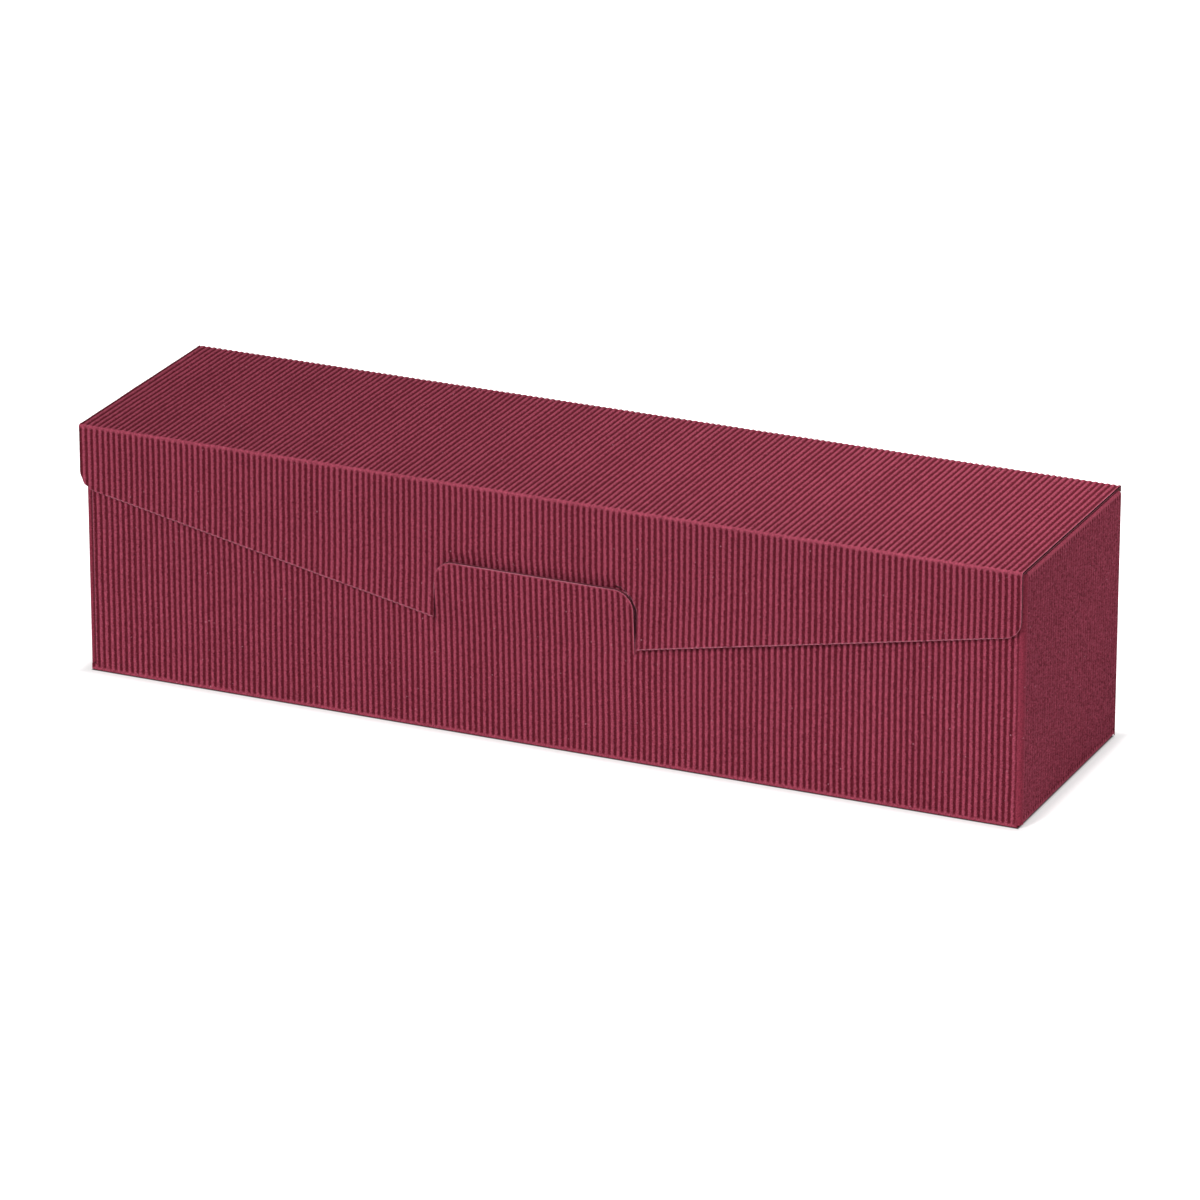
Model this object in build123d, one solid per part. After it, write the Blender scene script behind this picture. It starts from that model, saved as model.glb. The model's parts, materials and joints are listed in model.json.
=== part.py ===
from build123d import *
import math
import os

# A long gift box for one wine bottle, folded from a single sheet of open-flute board.
# The sheet is a smooth liner, on the inside, and a fluted paper, on the outside.
# X runs along the box, the front is at -Y, and the box stands on Z = 0. Millimetres.

# Outside of the closed box, without the flap that hangs over the front
LENGTH = 370.0
DEPTH = 96.0
HEIGHT = 97.0

# Board
LINER = 0.35            # smooth inner paper
MEDIUM = 0.2            # fluted paper, where a valley is glued to the liner
FLUTE_HEIGHT = 0.8      # from the liner to the top of a flute
FLUTE_PITCH = 2.3
FOOT_CREST = 0.9        # flat worn on the flutes that the box stands on
CREASE_LEG = 1.6        # band of board on each side of a crease that bends with it
UPRIGHT_RADIUS = 1.3    # inside the bends between the walls, which roll more than the others

# Gaps between boards that lie on each other
FLAP_GAP = 0.3          # lid flap in front of the front wall
DUST_GAP = 0.3          # dust flaps under the lid
FLOOR_GAP = 0.05        # end floor flaps on the long floor flaps
EDGE_GAP = 0.5          # top of the front wall under the lid

# Lid and the flap that closes it
LID_OVERHANG = 0.6      # past the left end
LID_INSET = 1.0         # short of the right end
FLAP_SIDE = 24.3        # height of the flap at its two ends, below the lid's top
FLAP_TIP = 52.3         # depth of its two points beside the tongue
FLAP_CORNER = 7.4       # radius of its outer corners

# Lock in the front wall: a tongue cut on three sides, with the flap's tab behind it
TONGUE_WIDTH = 79.0
TONGUE_SHIFT = -2.5     # its centre, left of the box's centre
TONGUE_TOP = 29.9       # below the lid's top
TONGUE_BASE = 55.0      # below the lid's top
TONGUE_CORNER = 8.0
TONGUE_LEAN = 6.5       # degrees, outwards
TONGUE_ROOT = 0.3       # from the bend to the tongue's stiff part
SLIT = 0.25             # cut between the tongue and the wall
TAB_END = 53.3          # below the lid's top
TAB_LEAN = 6.7          # degrees, inwards through the window
TAB_GAP = 0.3           # between the tab and the window, and between the tab and the flap
TAB_BEND = 0.8          # bend line above the window

# Dust flaps on the tops of the ends
DUST_LENGTH = 45.0
DUST_TAPER = 0.62       # the rear edge narrows by this much for each millimetre of length
DUST_CORNER = 5.0

# Floor: two long flaps that meet on a stepped seam, over an end flap at each end
SEAM_STEP = 12.0        # seam, before and behind the middle
SEAM_HALF = 95.0        # half of the length of the step
SEAM_SLOPE = 12.0       # run of the slanted part of the seam
SEAM_GAP = 0.5
FLOOR_INSET = 1.6       # long flaps and their creases, short of each end
END_FLAP_LENGTH = 60.0
END_FLAP_TAPER = 18.0   # each side, towards the free edge

# Glued seam behind the left edge of the front wall
GLUE_FLAP = 18.0
GLUE_TAPER = 6.0
SEAM_REVEAL = 1.6       # rolled edge of the left end that shows past the front wall

# Sizes that follow
BOARD = LINER + FLUTE_HEIGHT
IN_X = LENGTH / 2 - BOARD               # inner face of an end
IN_Y = DEPTH / 2 - BOARD                # inner face of the front and of the back
PITCH_LONG = LENGTH / round(LENGTH / FLUTE_PITCH)
PITCH_END = DEPTH / round(DEPTH / FLUTE_PITCH)
LID_Z = HEIGHT - BOARD                  # underside of the lid
LID_LEFT = -LENGTH / 2 - LID_OVERHANG
LID_RIGHT = LENGTH / 2 - LID_INSET
FLAP_Y = DEPTH / 2 + FLAP_GAP           # inner face of the lid flap
DUST_Z = LID_Z - DUST_GAP - BOARD       # underside of a dust flap
END_Z = 2 * BOARD + FLOOR_GAP           # top of an end floor flap
FRONT_TOP = LID_Z - EDGE_GAP
BASE_Z = HEIGHT - TONGUE_BASE
WINDOW_TOP = HEIGHT - TONGUE_TOP
BEND_Z = WINDOW_TOP + TAB_BEND

nodes = {}


def rectangle(x0, y0, x1, y1):
    """A face between two opposite corners."""
    return Pos((x0 + x1) / 2, (y0 + y1) / 2) * Rectangle(x1 - x0, y1 - y0)


def polygon(points, rounded=(), radius=0.0):
    """A face through the points, with some of its corners rounded."""
    face = Sketch() + make_face(Polyline(*points, close=True))
    corners = [v for v in face.vertices() if any(abs(v.X - x) + abs(v.Y - y) < 1e-6 for x, y in rounded)]
    return fillet(corners, radius) if corners else face


def arch(bottom, top, margin):
    """The tongue's outline, larger all round by the margin, from bottom to top."""
    left = TONGUE_SHIFT - TONGUE_WIDTH / 2 - margin
    right = TONGUE_SHIFT + TONGUE_WIDTH / 2 + margin
    points = [(left, bottom), (right, bottom), (right, top), (left, top)]
    return polygon(points, rounded=points[2:], radius=TONGUE_CORNER + margin)


def fluted_sheet(outline, pitch, crest=0.0):
    """The fluted paper over an outline: straight ridges along Y, one of them on X = 0."""
    box = outline.bounding_box()
    reach = max(abs(box.min.X), abs(box.max.X))
    count = math.ceil(reach / pitch) + 1
    valley = LINER + MEDIUM
    points = [(-(count + 0.5) * pitch, LINER)]
    for i in range(-count, count + 1):
        points.append(((i - 0.5) * pitch, valley))
        points.append((i * pitch - crest / 2, BOARD))
        if crest:
            points.append((i * pitch + crest / 2, BOARD))
    points += [((count + 0.5) * pitch, valley), ((count + 0.5) * pitch, LINER)]
    start = Plane(origin=(0, box.max.Y, 0), x_dir=(1, 0, 0), z_dir=(0, -1, 0))
    ridges = extrude(start * make_face(Polyline(*points, close=True)), amount=box.max.Y - box.min.Y)
    return ridges & extrude(Pos(0, 0, LINER) * outline, amount=FLUTE_HEIGHT)


def panel(name, plane, outline, pitch=PITCH_LONG, crest=0.0):
    """One stiff panel of board, drawn on its inner face: X across the flutes, Y along them, Z outwards."""
    nodes[name + "_liner"] = plane * extrude(outline, amount=LINER)
    nodes[name + "_flutes"] = plane * fluted_sheet(outline, pitch, crest)


def crease(name, start, end, leg, radius=0.0):
    """The bent band of board between two panels, along a straight inner corner.

    One leg runs in the given direction, and the other at right angles to it and to the corner."""
    corner = (0, 0)
    tip = (-BOARD, -BOARD)
    points = [corner, (CREASE_LEG, 0), (CREASE_LEG, -BOARD), tip, (-BOARD, CREASE_LEG), (0, CREASE_LEG)]
    band = polygon(points, rounded=[tip], radius=BOARD + radius)
    if radius:
        band = fillet(band.vertices().sort_by_distance(corner)[0], radius)
    run = Vector(*end) - Vector(*start)
    plane = Plane(origin=start, x_dir=leg, z_dir=run.normalized())
    nodes[name] = extrude(plane * band, amount=run.length)


def leaning(y, z, degrees):
    """A plane facing the front whose upper edge leans outwards, through a line along X."""
    tilt = math.radians(degrees)
    return Plane(origin=(0, y, z), x_dir=(1, 0, 0), z_dir=(0, -math.cos(tilt), -math.sin(tilt)))


# Panels of the front, back and ends, drawn on their inner faces with Y upwards
FRONT = Plane(origin=(0, -IN_Y, 0), x_dir=(1, 0, 0), z_dir=(0, -1, 0))
BACK = Plane(origin=(0, IN_Y, 0), x_dir=(-1, 0, 0), z_dir=(0, 1, 0))
RIGHT = Plane(origin=(IN_X, 0, 0), x_dir=(0, 1, 0), z_dir=(1, 0, 0))
LEFT = Plane(origin=(-IN_X, 0, 0), x_dir=(0, -1, 0), z_dir=(-1, 0, 0))

PANEL_X = IN_X - CREASE_LEG             # stiff half of a long panel
PANEL_Y = IN_Y - CREASE_LEG             # stiff half of an end panel
FLOOR_X = LENGTH / 2 - FLOOR_INSET      # half of a long floor flap
SEAM_Y = PANEL_Y - BOARD                # the same at the glued seam, inside the front wall
LONG_BOTTOM = BOARD + CREASE_LEG
END_BOTTOM = END_Z + CREASE_LEG
END_TOP = DUST_Z - CREASE_LEG
PANEL_TOP = LID_Z - CREASE_LEG          # of the back wall and of the flap, below the lid's creases


def walls():
    window = arch(BASE_Z, WINDOW_TOP, 0.0)
    cut_edge = SEAM_REVEAL - LENGTH / 2
    panel("front_wall", FRONT, rectangle(cut_edge, LONG_BOTTOM, PANEL_X, FRONT_TOP) - window)
    panel("back_wall", BACK, rectangle(-PANEL_X, LONG_BOTTOM, PANEL_X, PANEL_TOP))
    panel("right_end", RIGHT, rectangle(-PANEL_Y, END_BOTTOM, PANEL_Y, END_TOP), PITCH_END)
    panel("left_end", LEFT, rectangle(-PANEL_Y, END_BOTTOM, SEAM_Y, END_TOP), PITCH_END)


def upright_creases():
    corners = {
        "front_right_crease": ((IN_X, -IN_Y), (0, 1, 0)),
        "back_right_crease": ((IN_X, IN_Y), (-1, 0, 0)),
        "back_left_crease": ((-IN_X, IN_Y), (0, -1, 0)),
        "front_left_crease": ((-IN_X, -IN_Y + BOARD), (1, 0, 0)),
    }
    for name, (corner, leg) in corners.items():
        crease(name, (*corner, END_BOTTOM), (*corner, PANEL_TOP), leg, UPRIGHT_RADIUS)


def glue_flap():
    left = -PANEL_X
    right = left + GLUE_FLAP
    root = [(left, END_TOP), (left, END_BOTTOM)]
    free = [(right, END_BOTTOM + GLUE_TAPER), (right, END_TOP - GLUE_TAPER)]
    behind = Plane(origin=(0, -IN_Y + BOARD, 0), x_dir=(1, 0, 0), z_dir=(0, -1, 0))
    nodes["glue_flap"] = behind * extrude(polygon(root + free), amount=BOARD)


def long_floor_flap(side):
    """Outline of a long floor flap. Its seam steps forward or back in the middle, by the side's sign."""
    near = IN_Y - side * SEAM_STEP - SEAM_GAP / 2
    far = IN_Y + side * SEAM_STEP - SEAM_GAP / 2
    half = SEAM_HALF - side * SEAM_GAP / 2
    slope = half + SEAM_SLOPE
    seam = [(slope, near), (half, far), (-half, far), (-slope, near)]
    root = [(-FLOOR_X, CREASE_LEG), (FLOOR_X, CREASE_LEG)]
    return polygon(root + [(FLOOR_X, near)] + seam + [(-FLOOR_X, near)])


def end_floor_flap(front):
    """Outline of an end floor flap. X is towards the back, and front is how far it reaches forward."""
    root = [(-front, CREASE_LEG), (PANEL_Y, CREASE_LEG)]
    free = [(PANEL_Y - END_FLAP_TAPER, END_FLAP_LENGTH), (END_FLAP_TAPER - front, END_FLAP_LENGTH)]
    return polygon(root + free)


def floor():
    front = Plane(origin=(0, -IN_Y, BOARD), x_dir=(-1, 0, 0), z_dir=(0, 0, -1))
    back = Plane(origin=(0, IN_Y, BOARD), x_dir=(1, 0, 0), z_dir=(0, 0, -1))
    panel("floor_front", front, long_floor_flap(1), crest=FOOT_CREST)
    panel("floor_back", back, long_floor_flap(-1), crest=FOOT_CREST)
    right = Plane(origin=(IN_X, 0, END_Z), x_dir=(0, -1, 0), z_dir=(0, 0, -1))
    left = Plane(origin=(-IN_X, 0, END_Z), x_dir=(0, 1, 0), z_dir=(0, 0, -1))
    panel("floor_right", right, mirror(end_floor_flap(PANEL_Y), about=Plane.YZ), PITCH_END)
    panel("floor_left", left, end_floor_flap(SEAM_Y), PITCH_END)
    crease("floor_front_crease", (-FLOOR_X, -IN_Y, BOARD), (FLOOR_X, -IN_Y, BOARD), (0, 1, 0))
    crease("floor_back_crease", (-FLOOR_X, IN_Y, BOARD), (FLOOR_X, IN_Y, BOARD), (0, 0, 1))
    crease("floor_right_crease", (IN_X, -PANEL_Y, END_Z), (IN_X, PANEL_Y, END_Z), (-1, 0, 0))
    crease("floor_left_crease", (-IN_X, -SEAM_Y, END_Z), (-IN_X, PANEL_Y, END_Z), (0, 0, 1))


def dust_flap(front):
    """Outline of a dust flap. X is towards the back, and front is how far it reaches forward."""
    rear = PANEL_Y - DUST_TAPER * DUST_LENGTH
    root = [(-front, CREASE_LEG), (PANEL_Y - DUST_TAPER * CREASE_LEG, CREASE_LEG)]
    free = [(rear, DUST_LENGTH), (-front, DUST_LENGTH)]
    return polygon(root + free, rounded=free, radius=DUST_CORNER)


def dust_flaps():
    right = Plane(origin=(IN_X, 0, DUST_Z), x_dir=(0, 1, 0), z_dir=(0, 0, 1))
    left = Plane(origin=(-IN_X, 0, DUST_Z), x_dir=(0, -1, 0), z_dir=(0, 0, 1))
    panel("right_dust_flap", right, dust_flap(PANEL_Y), PITCH_END)
    panel("left_dust_flap", left, mirror(dust_flap(SEAM_Y), about=Plane.YZ), PITCH_END)
    crease("right_dust_crease", (IN_X, -PANEL_Y, DUST_Z), (IN_X, PANEL_Y, DUST_Z), (0, 0, -1))
    crease("left_dust_crease", (-IN_X, -SEAM_Y, DUST_Z), (-IN_X, PANEL_Y, DUST_Z), (1, 0, 0))


def lid():
    top = Plane(origin=(0, 0, LID_Z), x_dir=(1, 0, 0), z_dir=(0, 0, 1))
    panel("lid", top, rectangle(LID_LEFT, -FLAP_Y + CREASE_LEG, LID_RIGHT, IN_Y - CREASE_LEG))
    crease("lid_crease", (LID_LEFT, IN_Y, LID_Z), (LID_RIGHT, IN_Y, LID_Z), (0, -1, 0))
    crease("flap_crease", (LID_LEFT, -FLAP_Y, LID_Z), (LID_RIGHT, -FLAP_Y, LID_Z), (0, 0, -1))


def lid_flap():
    """The flap: two wings that taper to a point beside the tongue, joined above it."""
    side = HEIGHT - FLAP_SIDE
    tip = HEIGHT - FLAP_TIP
    left = TONGUE_SHIFT - TONGUE_WIDTH / 2
    right = TONGUE_SHIFT + TONGUE_WIDTH / 2
    ends = [(LID_RIGHT, side), (LID_LEFT, side)]
    points = [(LID_LEFT, PANEL_TOP), (LID_RIGHT, PANEL_TOP), ends[0], (right, tip), (left, tip), ends[1]]
    wings = polygon(points, rounded=ends, radius=FLAP_CORNER) - arch(tip - TAB_GAP, BEND_Z, TAB_GAP)
    panel("lid_flap", Plane(origin=(0, -FLAP_Y, 0), x_dir=(1, 0, 0), z_dir=(0, -1, 0)), wings)


def tuck_tab():
    """The middle of the flap, bent inwards to pass through the window and lie behind the tongue."""
    slant = math.cos(math.radians(TAB_LEAN))
    end = (HEIGHT - TAB_END - BEND_Z) / slant
    shoulder = -(TAB_BEND + TAB_GAP) / slant
    neck = TONGUE_WIDTH / 2 - TONGUE_CORNER
    outline = arch(end, shoulder, -TAB_GAP)
    outline += rectangle(TONGUE_SHIFT - neck, shoulder - TONGUE_CORNER, TONGUE_SHIFT + neck, 0)
    panel("tuck_tab", leaning(-FLAP_Y, BEND_Z, TAB_LEAN), outline)


def tongue():
    """The tongue stands out of the wall, and bends on a line at the outside of the board."""
    tilt = math.radians(TONGUE_LEAN)
    inner_y = -DEPTH / 2 + BOARD * math.cos(tilt)
    inner_z = BASE_Z + BOARD * math.sin(tilt)
    outline = arch(TONGUE_ROOT, WINDOW_TOP - BASE_Z - SLIT, -SLIT)
    panel("tongue", leaning(inner_y, inner_z, TONGUE_LEAN), outline)


walls()
upright_creases()
glue_flap()
floor()
dust_flaps()
lid()
lid_flap()
tuck_tab()
tongue()

os.makedirs("parts", exist_ok=True)
for name, shape in nodes.items():
    export_step(shape, os.path.join("parts", name + ".step"))
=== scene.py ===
import json
import math
from dataclasses import dataclass
from functools import partial

import bpy
import numpy as np
from bpy.types import Operator, PropertyGroup
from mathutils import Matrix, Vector

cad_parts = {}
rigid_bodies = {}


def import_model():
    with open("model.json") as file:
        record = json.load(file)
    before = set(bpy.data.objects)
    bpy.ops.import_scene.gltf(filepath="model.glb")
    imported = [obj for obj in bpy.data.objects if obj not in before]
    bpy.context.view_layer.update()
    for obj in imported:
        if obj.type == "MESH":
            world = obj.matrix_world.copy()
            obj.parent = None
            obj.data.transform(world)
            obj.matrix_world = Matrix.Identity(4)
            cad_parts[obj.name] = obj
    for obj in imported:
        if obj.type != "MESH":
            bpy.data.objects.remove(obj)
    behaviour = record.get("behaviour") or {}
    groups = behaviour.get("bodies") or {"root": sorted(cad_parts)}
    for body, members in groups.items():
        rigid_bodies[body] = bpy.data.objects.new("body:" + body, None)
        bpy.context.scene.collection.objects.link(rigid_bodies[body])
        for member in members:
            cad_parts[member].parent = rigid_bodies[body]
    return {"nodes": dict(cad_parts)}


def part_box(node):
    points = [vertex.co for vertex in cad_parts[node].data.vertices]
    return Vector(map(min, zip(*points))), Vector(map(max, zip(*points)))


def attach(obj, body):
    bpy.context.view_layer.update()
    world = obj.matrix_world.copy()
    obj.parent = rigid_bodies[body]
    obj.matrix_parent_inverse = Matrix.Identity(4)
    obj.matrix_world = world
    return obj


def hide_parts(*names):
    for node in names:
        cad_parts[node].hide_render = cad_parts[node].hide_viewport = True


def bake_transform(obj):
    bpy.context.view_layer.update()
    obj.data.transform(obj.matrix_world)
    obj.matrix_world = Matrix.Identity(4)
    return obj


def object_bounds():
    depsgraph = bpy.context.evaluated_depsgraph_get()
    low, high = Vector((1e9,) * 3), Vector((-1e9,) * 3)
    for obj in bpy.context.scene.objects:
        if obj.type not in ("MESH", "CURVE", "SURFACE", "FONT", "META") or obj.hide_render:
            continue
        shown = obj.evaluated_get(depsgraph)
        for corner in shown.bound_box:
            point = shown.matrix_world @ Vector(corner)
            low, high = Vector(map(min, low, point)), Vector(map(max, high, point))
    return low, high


for leftover in list(bpy.data.objects):
    bpy.data.objects.remove(leftover)
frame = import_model()
CAD_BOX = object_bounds()

bl_info = {
    "name": "Open flute gift box",
    "version": (1, 0, 0),
    "blender": (4, 5, 0),
    "location": "View3D > Sidebar > Gift Box",
    "description": "Builds the fluted papers, folds and finishes of a gift box on its packed model",
    "category": "Add Mesh",
}

MM = 0.001

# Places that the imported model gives, in metres
LID_LOW, LID_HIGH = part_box("lid_liner")
WALL_LOW, WALL_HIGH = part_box("front_wall_liner")
BACK_LOW, BACK_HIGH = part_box("back_wall_liner")
END_LOW, END_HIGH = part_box("right_end_liner")
SEAM_LOW, SEAM_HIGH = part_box("left_end_liner")
FLAP_LOW, FLAP_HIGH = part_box("lid_flap_liner")
TAB_LOW, TAB_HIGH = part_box("tuck_tab_liner")
TONGUE_LOW, TONGUE_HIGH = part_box("tongue_liner")
DUST_LOW, DUST_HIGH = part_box("right_dust_flap_liner")
FLOOR_LOW, FLOOR_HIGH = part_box("floor_front_crease")
OUT_X = CAD_BOX[1].x  # outer faces of the walls
OUT_Y = CAD_BOX[1].y
TOP = CAD_BOX[1].z
IN_Y = BACK_LOW.y  # inner face of the back wall
IN_X = END_LOW.x
BOARD = OUT_Y - IN_Y  # whole thickness of the board
LINER = LID_HIGH.z - LID_LOW.z
LID_Z = LID_LOW.z
FLAP_Y = -FLAP_HIGH.y
CREASE_LEG = WALL_LOW.z - BOARD
DUST_Z = END_HIGH.z + CREASE_LEG
END_Z = END_LOW.z - CREASE_LEG
SEAM_Y = -IN_Y + BOARD  # inner corner of the glued seam, behind the front wall
BEND_Z = TAB_HIGH.z  # where the tuck tab leaves the flap
FLUTE_PITCH = 2.3 * MM
LONG_PITCH = 2 * OUT_X / round(2 * OUT_X / FLUTE_PITCH)
END_PITCH = 2 * OUT_Y / round(2 * OUT_Y / FLUTE_PITCH)
UPRIGHT_RADIUS = 1.3 * MM  # inside the bends between the walls
ROW_STEP = 7 * MM  # faces along the flutes
LINING_STEP = 6 * MM  # faces across a lining
SMOOTH_ANGLE = math.radians(50)
CORNER_STEPS = 8  # cuts that round a corner
BUMP_DEPTH = 0.05 * MM  # of the paper's grain
CREASE_ROOM = 0.05 * MM  # between a crease's lining and its paper
LID_ROOM = 0.25 * MM  # between the front folds and the lid
BULGE_FOOT = 5 * MM  # where the front wall's swelling starts, above the floor
BULGE_TOP = 30 * MM  # where it ends, above the tongue's root
SWELL_GROWS = (45 * MM, 95 * MM)  # distances from the middle between which a wing's swell grows
SWELL_FADES = (120 * MM, 180 * MM)
FLOOR_SIZE = 40
FLOOR_GAP = 0.02 * MM  # below the box, so that no faces coincide
TINY = 1e-6  # places nearer than this are the same
SLIVER = 1e-7  # narrowest strip that a cut leaves
CORNER_PAST = 0.3  # how far the box that a corner is cut in goes past it, as a share of its radius
SCORE_HALF = 3 * MM  # half width of the strips that an arch's sides are cut in
SCORE_PAST = 20 * MM  # how far those strips go past the arch
LEG_ROWS = (0, 0.45, 0.65, 0.85)  # places of the rows on a fold's legs, as shares from their ends
ROLL_ROWS = 8  # rows of faces round the roll between them
NECK = 2 * MM  # depth of the tab's neck, whose edge is no cut edge
SENSOR = 36  # width of the camera's sensor, in mm


# Kinds of setting: each is a Blender property with its name, its description and its default


def a_number(name, description, value, unit="NONE", **options):
    return bpy.props.FloatProperty(name=name, description=description, default=value, unit=unit, **options)


def a_length(name, description, metres):
    return a_number(name, description, metres, "LENGTH", precision=5)


def a_share(name, description, value):
    return a_number(name, description, value, subtype="FACTOR")


def an_angle(name, description, degrees):
    return a_number(name, description, math.radians(degrees), subtype="ANGLE")


def a_vector(name, description, values, subtype="NONE"):
    return bpy.props.FloatVectorProperty(
        name=name, description=description, default=values, size=len(values), subtype=subtype)


def a_colour(name, description, *values):
    return a_vector(name, description, values, "COLOR")


class BoardSettings(PropertyGroup):
    paper: a_length("Fluted paper", "Thickness of the fluted paper", 0.16 * MM)
    valley: a_length("Valley", "Height of a valley above the inner face", LINER + 0.2 * MM)
    columns: bpy.props.IntProperty(name="Columns", description="Faces across one flute", default=8, min=4)
    crest_width: a_share("Crest width", "Power of the wave: below 1 widens the crests", 0.8)
    unevenness: a_share("Unevenness", "Share by which the crests differ in height", 0.14)
    wander: a_length("Wander", "How far a crest strays sideways", 0.09 * MM)
    # The ends' painted flute highlight and shade: how much weaker they are, and the tone they near
    end_evenness: a_share("Evenness of the ends", "How much less the ends' flutes stand out", 0.85)
    end_tone: a_share("Tone of the ends", "Share of a flute whose tone the ends near", 0.6)
    crushed: a_share("Crushed flutes", "Share of the flutes left on a fold across them", 0.8)
    crush_start: a_length("Crush start", "Where the flutes begin, from the fold's middle", 0.35 * MM)
    crush_end: a_length("Crush end", "Where the flutes are whole, from the fold's middle", 1.8 * MM)
    rolled: a_share("Rolled flutes", "Share of the flutes left on a roll along them", 0.7)
    roll_start: a_length("Roll start", "Where the flutes begin, from the roll's middle", 0.6 * MM)
    roll_end: a_length("Roll end", "Where the flutes are whole, from the roll's middle", 2.6 * MM)


class CutSettings(PropertyGroup):
    flap_side: a_length("Flap ends", "Height of the flap's ends, from the lid's top", 24.3 * MM)
    flap_corner: a_length("Flap corner", "Radius of the flap's outer corners", 7.4 * MM)
    tongue_root: a_length("Tongue root", "Depth of the tongue's bend below the lid's top", 55 * MM)
    tab_bend: a_length("Tab bend", "Height of the tab's bend above the window", 0.8 * MM)
    tongue_corner: a_length("Tongue corner", "Radius of the tongue's corners", 8.0 * MM)
    notch_corner: a_length("Notch corner", "Radius of the flap's notch over the tongue", 10.8 * MM)
    notch_room: a_length("Notch room", "Gap at the right of the window", 1.0 * MM)
    slit: a_length("Slit", "Cut between the tongue and the wall", 0.25 * MM)
    tab_gap: a_length("Tab gap", "Gap between the tuck tab and the window", 0.3 * MM)
    tongue_lean: an_angle("Tongue lean", "How far the tongue leans outwards", 6.5)
    tab_lean: an_angle("Tab lean", "How far the tab leans inwards", 6.7)
    seam_reveal: a_length("Seam reveal", "How much the front's glued edge is cut back", 2.0 * MM)
    dust_taper: a_number("Dust flap taper", "Slope of a dust flap's rear edge", 0.62)
    dust_corner: a_length("Dust flap corner", "Radius of a dust flap's free corners", 5.0 * MM)
    edge_band: a_length("Edge band", "Width of the pale band along a cut edge", 0.42 * MM)
    pinched: a_length("Pinched edge", "Width that the tongue's cut edge presses flat", 1.1 * MM)
    dented: a_length("Dent", "How far above its tab the flap is dented", 3.0 * MM)
    dent_depth: a_length("Dent depth", "How deep the flap is dented", 0.9 * MM)
    wall_bulge: a_length("Wall bulge", "How far the front wall swells at the tongue's root", 1.1 * MM)
    bulge_half: a_length("Bulge half width", "Where that swelling ends, each side", 110 * MM)
    wing_lean: a_length("Wing lean", "How far the flap's lower edges stand off", 0.5 * MM)
    wing_swell: a_length("Wing swell", "How far each wing stands off half way along", 0.75 * MM)


class FinishSettings(PropertyGroup):
    # Crest and valley are the paper's colour with a painted highlight on the crests and painted shade in the
    # valleys
    crest: a_colour("Crest", "Paper on the crests", 0.37, 0.064, 0.107)
    valley: a_colour("Valley", "Paper in the valleys", 0.122, 0.0125, 0.0235)
    # Fold: crushed paper, painted in the crests' light tone, as if lit from above
    fold: a_colour("Fold", "Paper crushed on a fold across the flutes", 0.37, 0.062, 0.102)
    # Roll: painted darker, as shade where the roll turns away
    roll: a_colour("Roll", "Paper stretched over a roll along the flutes", 0.27, 0.035, 0.063)
    edge: a_colour("Cut edge", "Core of the paper at a cut edge", 0.52, 0.17, 0.23)
    # Rim: painted dark, as shade on rims that face away from the lamps
    rim: a_colour("Rim", "Thickness of the papers, seen from the side", 0.24, 0.06, 0.085)
    # Glued side: near black, painted shade for the gaps between the liner and the flutes
    glued: a_colour("Glued side", "Side of the liner that the flutes are glued to", 0.07, 0.018, 0.024)
    speck: a_colour("Speck", "Pale fibres in the fluted paper", 0.52, 0.19, 0.25)
    liner: a_colour("Liner", "Smooth inner paper", 0.36, 0.235, 0.155)
    liner_speck: a_colour("Liner speck", "Pale fibres in the inner paper", 0.5, 0.36, 0.25)


class StageSettings(PropertyGroup):
    azimuth: an_angle("Azimuth", "Camera, right of the front", 24.33)
    elevation: an_angle("Elevation", "Camera, above the horizon", 21.0)
    distance: a_length("Distance", "Camera to the middle of the box", 2.709)
    lens: a_number("Lens", "Focal length for a 36 mm wide sensor", 223.4, "CAMERA")
    shift: a_vector("Shift", "Shift of the picture, as shares of its width", (0.0025, -0.0178))
    world: a_number("World", "Strength of the surrounding light", 0.18)
    key: a_number("Key", "Strength of the key lamp, in W/m2", 2.07)
    key_from: a_vector("Key from", "Direction of the key lamp", (-0.35, -0.8, 0.64), "DIRECTION")
    key_softness: an_angle("Key softness", "Width of the key lamp, as an angle", 16)
    fill: a_number("Fill", "Strength of the fill lamp, in W/m2", 0.65)
    fill_from: a_vector("Fill from", "Direction of the fill lamp", (0.9, -0.3, 0.3), "DIRECTION")
    fill_softness: an_angle("Fill softness", "Width of the fill lamp, as an angle", 60)
    top: a_number("Top lamp", "Power of the lamp over the lid's right half", 0.62, "POWER")
    top_place: a_vector("Top lamp's place", "Middle of that lamp", (0.2, 0.05, 0.4), "TRANSLATION")
    top_size: a_length("Top lamp's size", "Diameter of that lamp", 0.2)
    # The floor's glow and light are darkened by a painted contact shadow, set by the three contact settings
    floor_glow: a_number("Floor glow", "Brightness of the floor's shadows", 0.9)
    contact_reach: a_length("Contact reach", "Width of the shadow at the foot of the box", 9 * MM)
    contact_grey: a_number("Contact grey", "Brightness of that shadow, at its darkest", 0.57)
    contact_inset: a_length("Contact inset", "How much further in it turns black at the ends", 0.8 * MM)


class GiftBoxSettings(PropertyGroup):
    board: bpy.props.PointerProperty(type=BoardSettings)
    cut: bpy.props.PointerProperty(type=CutSettings)
    finish: bpy.props.PointerProperty(type=FinishSettings)
    stage: bpy.props.PointerProperty(type=StageSettings)


def settings():
    return bpy.context.scene.gift_box


X, Y, Z = (Vector(axis) for axis in ((1, 0, 0), (0, 1, 0), (0, 0, 1)))

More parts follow.
